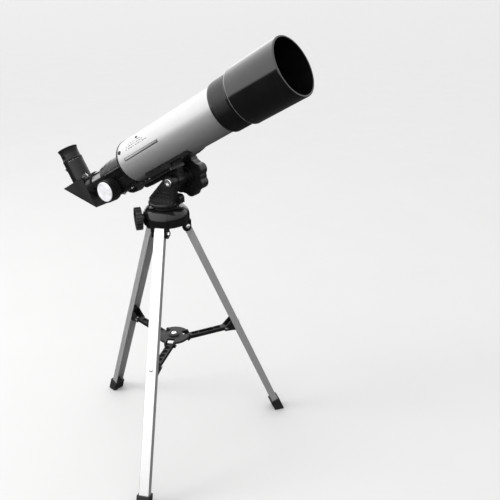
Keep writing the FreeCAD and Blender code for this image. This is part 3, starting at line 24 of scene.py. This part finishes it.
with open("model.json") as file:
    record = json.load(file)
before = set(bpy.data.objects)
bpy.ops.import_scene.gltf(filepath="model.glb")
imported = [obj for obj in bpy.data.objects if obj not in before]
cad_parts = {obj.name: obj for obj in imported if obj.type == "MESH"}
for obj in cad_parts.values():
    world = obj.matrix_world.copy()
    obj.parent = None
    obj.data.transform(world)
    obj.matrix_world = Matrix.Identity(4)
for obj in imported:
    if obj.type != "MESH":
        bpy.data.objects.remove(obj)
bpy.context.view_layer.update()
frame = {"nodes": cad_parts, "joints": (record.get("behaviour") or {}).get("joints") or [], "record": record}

# --- the tube's own frame, in millimetres along it and degrees round it -------------
JOINTS = {joint["name"]: joint for joint in frame["joints"]}
AXIS_POINT = Vector(JOINTS["diagonal_turn"]["pos_m"])      # rear end of the draw tube
TUBE_ALONG = Vector(JOINTS["diagonal_turn"]["axis"]).normalized()
TUBE_SIDE = Vector((0, 1, 0))
TUBE_UP = TUBE_ALONG.cross(TUBE_SIDE).normalized()
TUBE_RADIUS = 27.0
TUBE_REAR = 86.6               # tube's rear end, ahead of the draw tube's rear end
TUBE_LENGTH = 160.9
SHIELD_REAR = 186.4            # hood's rear end ahead of the tube's rear end
SHIELD_ROUND = 2.4             # its rounded shoulder


def tube_point(along, angle, radius):
    """Place from millimetres ahead of the tube's rear end, degrees from its top to the near side."""
    turn = math.radians(angle)
    out = TUBE_UP * math.cos(turn) - TUBE_SIDE * math.sin(turn)
    return AXIS_POINT + TUBE_ALONG * (TUBE_REAR + along) * MM + out * radius * MM


# --- print on the near side of the tube ----------------------------------------------
BAR_START, BAR_END = 12.0, 73.0
BAR_ANGLES = (79.5, 87.5)
BAR_LINE = 0.75                # width of the bar's dark outline
BAR_LIFT, BAR_SKIN, CORE_SKIN = 0.0, 0.03, 0.02
MARK_ROWS = (                  # angle from the tube's top, start along it, count, length
    (62.0, 18.0, 9, 3.0),
    (55.0, 18.0, 7, 3.4),
    (48.0, 22.0, 6, 2.6),
)
MARK_HEIGHT = 1.2
MARK_GAP = 1.4
MARK_SKIN = 0.02
SHORT_MARK = 0.6               # every third mark's length as a share of the others'


# --- materials ----------------------------------------------------------------------
IOR_OF_PLASTIC = 1.5


def grey(value, blue=1.0):
    """A near neutral colour."""
    return (value, value, min(1.0, value * blue), 1.0)


class Finish:
    """A principled material whose colour, roughness and bump come from noise at given sizes."""

    def __init__(self, name, metallic=0.0, specular=0.5, coat=0.0, coat_roughness=0.1):
        self.material = bpy.data.materials.new(name)
        self.material.use_nodes = True
        self.tree = self.material.node_tree
        self.shader = self.tree.nodes["Principled BSDF"]
        self.shader.inputs["Metallic"].default_value = metallic
        self.shader.inputs["Specular IOR Level"].default_value = specular
        self.shader.inputs["Coat Weight"].default_value = coat
        self.shader.inputs["Coat Roughness"].default_value = coat_roughness
        self.shader.inputs["IOR"].default_value = IOR_OF_PLASTIC
        self.place = self.node("ShaderNodeTexCoord").outputs["Object"]

    def node(self, kind, **values):
        """Adds a node with the given input values."""
        made = self.tree.nodes.new(kind)
        for key, value in values.items():
            made.inputs[key.replace("_", " ")].default_value = value
        return made

    def link(self, source, target):
        """Joins an output socket to an input socket."""
        self.tree.links.new(source, target)

    def noise(self, size_mm, detail=4.0, stretch=(1, 1, 1)):
        """Noise with features of about size_mm, longer along an axis where stretch is above 1."""
        mapping = self.node("ShaderNodeMapping")
        mapping.inputs["Scale"].default_value = [1 / (size_mm * MM * part) for part in stretch]
        self.link(self.place, mapping.inputs["Vector"])
        noise = self.node("ShaderNodeTexNoise", Scale=1.0, Detail=detail)
        self.link(mapping.outputs["Vector"], noise.inputs["Vector"])
        return noise.outputs["Fac"]

    def colour(self, factor, low, high, edges=(0.35, 0.65)):
        """Base colour that varies between two colours, reached at two values of the factor."""
        node = self.node("ShaderNodeValToRGB")
        for element, place, shade in zip(node.color_ramp.elements, edges, (low, high)):
            element.position = place
            element.color = shade
        self.link(factor, node.inputs["Fac"])
        self.link(node.outputs["Color"], self.shader.inputs["Base Color"])

    def roughness(self, factor, low, high):
        """Roughness that varies between two values."""
        spread = self.node("ShaderNodeMapRange")
        spread.inputs["From Min"].default_value = 0.3
        spread.inputs["From Max"].default_value = 0.7
        spread.inputs["To Min"].default_value = low
        spread.inputs["To Max"].default_value = high
        self.link(factor, spread.inputs["Value"])
        self.link(spread.outputs["Result"], self.shader.inputs["Roughness"])

    def relief(self, height, depth_mm):
        """A bump of about depth_mm."""
        bump = self.node("ShaderNodeBump", Strength=1.0, Distance=depth_mm * MM)
        self.link(height, bump.inputs["Height"])
        self.link(bump.outputs["Normal"], self.shader.inputs["Normal"])


def moulded(name, value, low, high, grain_mm, depth_mm, coat=0.0, specular=0.5):
    """Moulded plastic: faint cloudiness, a fine grain, and slightly uneven gloss."""
    finish = Finish(name, coat=coat, specular=specular)
    cloud = finish.noise(14, 5)
    finish.colour(cloud, grey(value * 0.8), grey(value * 1.3, 1.06))
    finish.roughness(finish.noise(5, 6), low, high)
    finish.relief(finish.noise(grain_mm, 3), depth_mm)
    return finish.material


def metal(name, value, low, high, stretch, depth_mm=0.01, metallic=1.0):
    """Bare metal with streaks along one direction."""
    finish = Finish(name, metallic=metallic)
    streak = finish.noise(0.5, 4, stretch)
    finish.colour(streak, grey(value * 0.86), grey(value), (0.3, 0.7))
    finish.roughness(finish.noise(1.5, 5, stretch), low, high)
    finish.relief(streak, depth_mm)
    return finish.material


def tinted_metal(name, dark, light, low, high):
    """Turned metal of a given colour with a fine all-over texture."""
    finish = Finish(name, metallic=1.0)
    finish.colour(finish.noise(2.0, 6), dark, light)
    finish.roughness(finish.noise(0.8, 4), low, high)
    finish.relief(finish.noise(0.15, 2), 0.01)
    return finish.material


def silver_paint():
    """Silver paint over drawn metal, with fine flakes and a slight unevenness along the tube."""
    finish = Finish("tube_silver", metallic=0.55, coat=0.25, coat_roughness=0.25)
    flake = finish.noise(0.35, 2)
    finish.colour(flake, grey(0.38), grey(0.50, 1.01), (0.3, 0.7))
    finish.roughness(finish.noise(9, 4), 0.36, 0.44)
    finish.relief(finish.noise(0.5, 3), 0.008)
    return finish.material


def faded_print():
    """Grey print that darkens along the tube."""
    finish = Finish("print_grey")
    where = finish.node("ShaderNodeVectorMath")
    where.operation = "DOT_PRODUCT"
    where.inputs[1].default_value = TUBE_ALONG
    finish.link(finish.place, where.inputs[0])
    start = TUBE_ALONG.dot(tube_point(BAR_START, 0, 0))
    spread = finish.node("ShaderNodeMapRange")
    spread.inputs["From Min"].default_value = start
    spread.inputs["From Max"].default_value = start + (BAR_END - BAR_START) * MM
    finish.link(where.outputs["Value"], spread.inputs["Value"])
    finish.colour(spread.outputs["Result"], grey(0.32), grey(0.12), (0.0, 1.0))
    finish.roughness(finish.noise(3, 3), 0.35, 0.5)
    finish.relief(finish.noise(0.3, 2), 0.002)
    return finish.material


def clear_glass(name, tint):
    """Coated optical glass."""
    finish = Finish(name, specular=0.8, coat=0.6, coat_roughness=0.02)
    paler = tuple(part * 1.2 for part in tint[:3]) + (1,)
    finish.colour(finish.noise(20, 3), tint, paler)
    finish.roughness(finish.noise(6, 3), 0.015, 0.04)
    finish.shader.inputs["Transmission Weight"].default_value = 0.35
    return finish.material


def make_materials():
    """One material for each kind of surface."""
    return {
        "crown": moulded("crown_gloss_black", 0.005, 0.16, 0.24, 0.6, 0.004, coat=0.1, specular=0.4),
        "shield": moulded("shield_gloss_black", 0.004, 0.09, 0.15, 1.2, 0.004, coat=0.25),
        "black": moulded("satin_black", 0.008, 0.22, 0.34, 0.35, 0.012, specular=0.42),
        "eyepiece": moulded("eyepiece_black", 0.005, 0.20, 0.30, 0.3, 0.006, specular=0.32),
        "diagonal": moulded("diagonal_black", 0.010, 0.42, 0.56, 0.3, 0.02, specular=0.35),
        # painted highlight: a lighter grey for the thin ring along the hood's rear edge, standing in for
        # light caught by its rounded edge
        "edge": moulded("hood_edge_highlight_paint", 0.22, 0.2, 0.3, 0.4, 0.002, coat=0.3),
        # painted highlights: a lighter grey for the bevels of the focuser and yoke, standing in for light
        # caught along their edges
        "bevel_highlight": moulded("bevel_highlight_paint", 0.07, 0.25, 0.35, 0.4, 0.004),
        "focuser": moulded("focuser_black", 0.006, 0.20, 0.30, 0.35, 0.010, specular=0.3),
        "knob": moulded("knob_black", 0.008, 0.26, 0.38, 0.3, 0.014),
        "spreader": moulded("spreader_black", 0.007, 0.40, 0.54, 0.3, 0.02, specular=0.28),
        "cell": moulded("cell_black", 0.006, 0.14, 0.20, 0.6, 0.002, specular=0.45),
        "rubber": moulded("foot_rubber", 0.012, 0.5, 0.68, 0.5, 0.03, specular=0.35),
        "cup": moulded("cup_rubber", 0.005, 0.45, 0.6, 0.4, 0.02, specular=0.22),
        "flat_black": moulded("baffle_flat_black", 0.004, 0.8, 0.95, 0.3, 0.03, specular=0.1),
        "silver": silver_paint(),
        "leg": metal("leg_aluminium", 0.86, 0.30, 0.42, (1, 1, 60), metallic=0.78),
        "steel": metal("bright_steel", 0.78, 0.16, 0.26, (1, 1, 3)),
        "chrome": metal("chrome", 0.80, 0.05, 0.10, (1, 1, 1), depth_mm=0.002),
        "drawtube": metal("smoked_chrome", 0.22, 0.10, 0.18, (1, 1, 1), depth_mm=0.002),
        "brass": tinted_metal("turned_brass", (0.62, 0.44, 0.18, 1), (0.78, 0.60, 0.28, 1), 0.2, 0.34),
        "cap": moulded("cap_white", 0.62, 0.16, 0.28, 0.5, 0.01, coat=0.3),
        "glass": clear_glass("coated_glass", (0.03, 0.05, 0.08, 1)),
        "print_dark": moulded("print_dark", 0.05, 0.35, 0.5, 0.4, 0.002),
        "print_faint": moulded("print_faint", 0.12, 0.35, 0.5, 0.4, 0.002),
        "print_grey": faded_print(),
        "mirror": metal("front_mirror", 0.92, 0.01, 0.03, (1, 1, 1), depth_mm=0.0005),
    }


SLOT_MATERIALS = {
    "crown_plastic": "crown", "black_plastic": "black", "spreader_plastic": "spreader",
    "shield_plastic": "shield", "cell_metal": "cell", "tube_silver": "silver",
    "leg_aluminium": "leg", "foot_rubber": "rubber", "cup_rubber": "cup", "steel": "steel",
    "chrome": "chrome", "brass": "brass", "cap_white": "cap", "lens_glass": "glass",
    "mirror": "mirror", "baffle_black": "flat_black",
}

# nodes that look unlike the rest of their slot
NODE_MATERIALS = {
    "tube_screws": "black", "drawtube": "drawtube", "eyepiece_body": "eyepiece",
    "eyepiece_holder": "eyepiece", "focuser_body": "focuser", "focuser_top_cover": "focuser",
    "diagonal_housing": "diagonal", "focus_knobs": "knob", "altitude_lock_knob": "knob",
    "azimuth_lock_knob": "knob",
}

EDGE_MM = {"hub_crown": 0.5, "dew_shield": 0.3, "spreader_hub": 0.3, "yoke": 0.35}
EDGE_DEFAULT_MM = 0.25
# nodes whose bevels are painted a lighter grey as edge highlights
BEVEL_HIGHLIGHT_NODES = ("focuser_top_cover", "focuser_body", "yoke")
WELD_MM = 0.002
FLAT_DEGREES = 0.6             # faces closer than this in slope become one
SHARP_DEGREES = 32             # edges sharper than this are rounded


def finish_node(obj, material, edge_mm, highlight_material=None):
    """Gives a CAD node its material and rounded edges, the edges painted in a second, lighter material as
    highlights where one is given.
    """
    mesh = obj.data
    mesh.materials.clear()
    mesh.materials.append(material)
    if highlight_material:
        mesh.materials.append(highlight_material)
    if "custom_normal" in mesh.attributes:
        mesh.attributes.remove(mesh.attributes["custom_normal"])
    for polygon in mesh.polygons:
        polygon.use_smooth = True
        polygon.material_index = 0
    weld = obj.modifiers.new("weld", "WELD")
    weld.merge_threshold = WELD_MM * MM
    flat = obj.modifiers.new("flat", "DECIMATE")
    flat.decimate_type = "DISSOLVE"
    flat.angle_limit = math.radians(FLAT_DEGREES)
    bevel = obj.modifiers.new("edges", "BEVEL")
    bevel.width = edge_mm * MM
    bevel.segments = 2
    bevel.limit_method = "ANGLE"
    bevel.angle_limit = math.radians(SHARP_DEGREES)
    bevel.harden_normals = True
    bevel.miter_outer = "MITER_ARC"
    # the bevels take the lighter painted-highlight material where one is given
    bevel.material = 1 if highlight_material else -1
    shade = obj.modifiers.new("shade", "WEIGHTED_NORMAL")
    shade.keep_sharp = True
    shade.weight = 80


def finish_frame(materials):
    """Finishes every CAD node by its name, or else by its slot in the record."""
    for row in frame["record"]["subparts"]:
        node = row["node"]
        material = materials[NODE_MATERIALS.get(node, SLOT_MATERIALS[row["material_slot"]])]
        edge_mm = EDGE_MM.get(node, EDGE_DEFAULT_MM)
        highlight_material = materials["bevel_highlight"] if node in BEVEL_HIGHLIGHT_NODES else None
        finish_node(frame["nodes"][node], material, edge_mm, highlight_material)


# --- pieces added to the CAD nodes ---------------------------------------------------
PATCH_STEP = 4.0               # length of a print plate's facets
PATCH_DEGREES = 2.0            # their width round the tube
BEAD_RADIUS = 0.5
HIGHLIGHT_LINE_RADIUS = 0.22


def degrees_of(length):
    """Angle round the tube of a length in millimetres."""
    return math.degrees(length / TUBE_RADIUS)


def add_piece(name, vertices, faces, material, body, slot):
    """Mesh object that rides on a body."""
    mesh = bpy.data.meshes.new(name)
    mesh.from_pydata([tuple(v) for v in vertices], [], faces)
    mesh.materials.append(material)
    for polygon in mesh.polygons:
        polygon.use_smooth = True
    piece = bpy.data.objects.new(name, mesh)
    bpy.context.scene.collection.objects.link(piece)
    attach(piece, body)
    return piece


def patch(along, angles, lift, thickness):
    """Vertices and faces of a thin closed plate that follows the tube."""
    columns = max(1, round((along[1] - along[0]) / PATCH_STEP))
    rows = max(1, round((angles[1] - angles[0]) / PATCH_DEGREES))
    vertices, faces = [], []
    for level in (lift, lift + thickness):
        for i in range(columns + 1):
            for j in range(rows + 1):
                place = along[0] + (along[1] - along[0]) * i / columns
                angle = angles[0] + (angles[1] - angles[0]) * j / rows
                vertices.append(tube_point(place, angle, TUBE_RADIUS + level))
    layer = (columns + 1) * (rows + 1)

    def at(i, j, top):
        """Index of the vertex at a column and a row, on the lower layer or the top one."""
        return top * layer + i * (rows + 1) + j

    for i in range(columns):
        for j in range(rows):
            faces.append((at(i, j, 1), at(i + 1, j, 1), at(i + 1, j + 1, 1), at(i, j + 1, 1)))
            faces.append((at(i, j, 0), at(i, j + 1, 0), at(i + 1, j + 1, 0), at(i + 1, j, 0)))
    rim = [(i, 0) for i in range(columns)] + [(columns, j) for j in range(rows)]
    rim += [(i, rows) for i in range(columns, 0, -1)] + [(0, j) for j in range(rows, 0, -1)]
    for (i, j), (k, m) in zip(rim, rim[1:] + rim[:1]):
        faces.append((at(i, j, 0), at(k, m, 0), at(k, m, 1), at(i, j, 1)))
    return vertices, faces


def join(parts):
    """One list of vertices and faces from several."""
    vertices, faces = [], []
    for some_vertices, some_faces in parts:
        base = len(vertices)
        vertices += some_vertices
        faces += [tuple(base + index for index in face) for face in some_faces]
    return vertices, faces


def print_on_tube(materials):
    """Outlined grey bar and rows of plain marks on the tube's near side."""
    bar = patch((BAR_START, BAR_END), BAR_ANGLES, BAR_LIFT, BAR_SKIN)
    add_piece("print_bar_outline", *bar, materials["print_dark"], "tube", "cell_metal")
    inset = degrees_of(BAR_LINE)
    core = patch((BAR_START + BAR_LINE, BAR_END - BAR_LINE),
                 (BAR_ANGLES[0] + inset, BAR_ANGLES[1] - inset), BAR_SKIN, CORE_SKIN)
    add_piece("print_bar_core", *core, materials["print_grey"], "tube", "tube_silver")
    marks = []
    for angle, start, count, length in MARK_ROWS:
        for index in range(count):
            place = start + index * (length + MARK_GAP)
            span = length * (1.0 if index % 3 else SHORT_MARK)
            half = degrees_of(MARK_HEIGHT) / 2
            across = (angle - half, angle + half)
            marks.append(patch((place, place + span), across, 0.0, MARK_SKIN))
    add_piece("print_marks", *join(marks), materials["print_faint"], "tube", "tube_silver")


def round_ring(along, radius, section, steps=96, sides=10):
    """Closed ring of round section about the tube's axis."""
    vertices, faces = [], []
    for i in range(steps):
        for j in range(sides):
            turn = math.tau * j / sides
            vertices.append(tube_point(along + section * math.cos(turn), 360.0 * i / steps,
                                       radius + section * math.sin(turn)))
    for i in range(steps):
        for j in range(sides):
            k, m = (i + 1) % steps, (j + 1) % sides
            faces.append((i * sides + j, i * sides + m, k * sides + m, k * sides + j))
    return vertices, faces


def radius_at(node, along, reach=0.6):
    """Greatest distance of a CAD node from the tube's axis near a place along it, in millimetres."""
    found = 0.0
    for vertex in frame["nodes"][node].data.vertices:
        offset = vertex.co - AXIS_POINT
        place = offset.dot(TUBE_ALONG)
        if abs(place - (TUBE_REAR + along) * MM) < reach * MM:
            found = max(found, (offset - TUBE_ALONG * place).length)
    return found / MM


def trim_rings(materials):
    """Bright bead where the collar meets the tube, a dark one at its rear, and a lighter line painted along
    the hood's rear edge as a highlight.
    """
    bright = round_ring(TUBE_LENGTH - BEAD_RADIUS, TUBE_RADIUS + 0.15, BEAD_RADIUS)
    add_piece("collar_bead", *bright, materials["cap"], "tube", "cap_white")
    dark = round_ring(BEAD_RADIUS, TUBE_RADIUS + 0.05, BEAD_RADIUS)
    add_piece("rear_bead", *dark, materials["black"], "tube", "black_plastic")
    # thin lighter ring just inside the hood's rear edge: a painted highlight
    edge = SHIELD_REAR + SHIELD_ROUND
    line = round_ring(edge, radius_at("dew_shield", edge) - 0.12, HIGHLIGHT_LINE_RADIUS)
    add_piece("shield_highlight_line", *line, materials["edge"], "tube", "shield_plastic")


# --- floor, light, camera -----------------------------------------------------------
FLOOR_HALF = 40.0              # metres
FLOOR_VALUE = 0.46
SKY_BRIGHT = 2.1
SKY_DIM = 1.0
SKY_TOWARDS = (-0.85, -0.45, 0.3)   # where the sky is brightest
GROUND = 0.08
HORIZON = (-0.09, -0.03)       # heights between which the ground turns into sky


def plain_material(name, value, roughness):
    """Pale matte surface with a faint unevenness."""
    finish = Finish(name, specular=0.2)
    finish.colour(finish.noise(180, 3), grey(value * 0.985), grey(value), (0.3, 0.7))
    finish.roughness(finish.noise(60, 3), roughness - 0.05, roughness + 0.05)
    return finish.material


def make_floor():
    """Pale floor that fills the view; it doesn't light the object from below."""
    mesh = bpy.data.meshes.new("floor")
    turns = ((-1, -1), (1, -1), (1, 1), (-1, 1))
    corners = [(x * FLOOR_HALF, y * FLOOR_HALF, 0) for x, y in turns]
    mesh.from_pydata(corners, [], [(0, 1, 2, 3)])
    floor = bpy.data.objects.new("floor", mesh)
    bpy.context.scene.collection.objects.link(floor)
    mesh.materials.append(plain_material("pale_floor", FLOOR_VALUE, 0.8))
    floor.visible_diffuse = False
    floor.visible_glossy = False


def area_light(name, where, target, size, power, colour=(1, 1, 1)):
    """Rectangular light at a place, facing a target."""
    data = bpy.data.lights.new(name, "AREA")
    data.shape = "RECTANGLE"
    data.size, data.size_y = size
    data.energy = power
    data.color = colour
    lamp = bpy.data.objects.new(name, data)
    bpy.context.scene.collection.objects.link(lamp)
    lamp.location = where
    lamp.rotation_mode = "QUATERNION"
    lamp.rotation_quaternion = (Vector(target) - Vector(where)).to_track_quat("-Z", "Y")
    lamp.visible_glossy = False


def make_room():
    """A big soft light dome: bright from the left, dimmer on the right, dark below the horizon."""
    world = bpy.data.worlds.new("room")
    bpy.context.scene.world = world
    world.use_nodes = True
    tree = world.node_tree
    background = tree.nodes["Background"]
    place = tree.nodes.new("ShaderNodeTexCoord").outputs["Generated"]
    split = tree.nodes.new("ShaderNodeSeparateXYZ")
    tree.links.new(place, split.inputs["Vector"])
    sideways = tree.nodes.new("ShaderNodeVectorMath")
    sideways.operation = "DOT_PRODUCT"
    sideways.inputs[1].default_value = SKY_TOWARDS
    tree.links.new(place, sideways.inputs[0])

    def spread(value, limits, levels):
        """Maps a value from one range to another."""
        made = tree.nodes.new("ShaderNodeMapRange")
        for name, number in zip(("From Min", "From Max", "To Min", "To Max"), limits + levels):
            made.inputs[name].default_value = number
        tree.links.new(value, made.inputs["Value"])
        return made.outputs["Result"]

    sky = spread(sideways.outputs["Value"], (-0.7, 0.6), (SKY_DIM, SKY_BRIGHT))
    above = spread(split.outputs["Z"], HORIZON, (0.0, 1.0))
    blend = tree.nodes.new("ShaderNodeMix")
    blend.data_type = "FLOAT"
    blend.inputs["A"].default_value = GROUND
    tree.links.new(above, blend.inputs["Factor"])
    tree.links.new(sky, blend.inputs["B"])
    tree.links.new(blend.outputs["Result"], background.inputs["Strength"])
    background.inputs["Color"].default_value = (1.0, 1.0, 1.0, 1)


def make_lights():
    """Soft studio light: the dome and a broad key high on the left."""
    make_room()
    area_light("key", (-1.0, -0.9, 1.2), (0, 0, 0.3), (0.6, 0.6), 15, (1.0, 0.99, 0.97))


CAMERA_PLACE = Vector((0.4640, -0.5432, 0.5983))
CAMERA_FORWARD = Vector((-0.4856, 0.7746, -0.4045)).normalized()
CAMERA_RIGHT = Vector((0.849, 0.528, -0.008))
CAMERA_LENS = 43.42


def make_camera():
    """Camera above and to the right of the tripod, looking down at it."""
    data = bpy.data.cameras.new("camera")
    data.sensor_width = 36
    data.lens = CAMERA_LENS
    data.clip_start = 0.02
    data.clip_end = 50
    camera = bpy.data.objects.new("camera", data)
    bpy.context.scene.collection.objects.link(camera)
    back = -CAMERA_FORWARD
    up = back.cross(CAMERA_RIGHT).normalized()
    right = up.cross(back)
    turn = Matrix((right, up, back)).transposed()
    camera.matrix_world = Matrix.Translation(CAMERA_PLACE) @ turn.to_4x4()
    bpy.context.scene.camera = camera
    bpy.context.scene.view_settings.view_transform = "Standard"


# --- build --------------------------------------------------------------------------
materials = make_materials()
finish_frame(materials)
print_on_tube(materials)
trim_rings(materials)
make_floor()
make_lights()
make_camera()
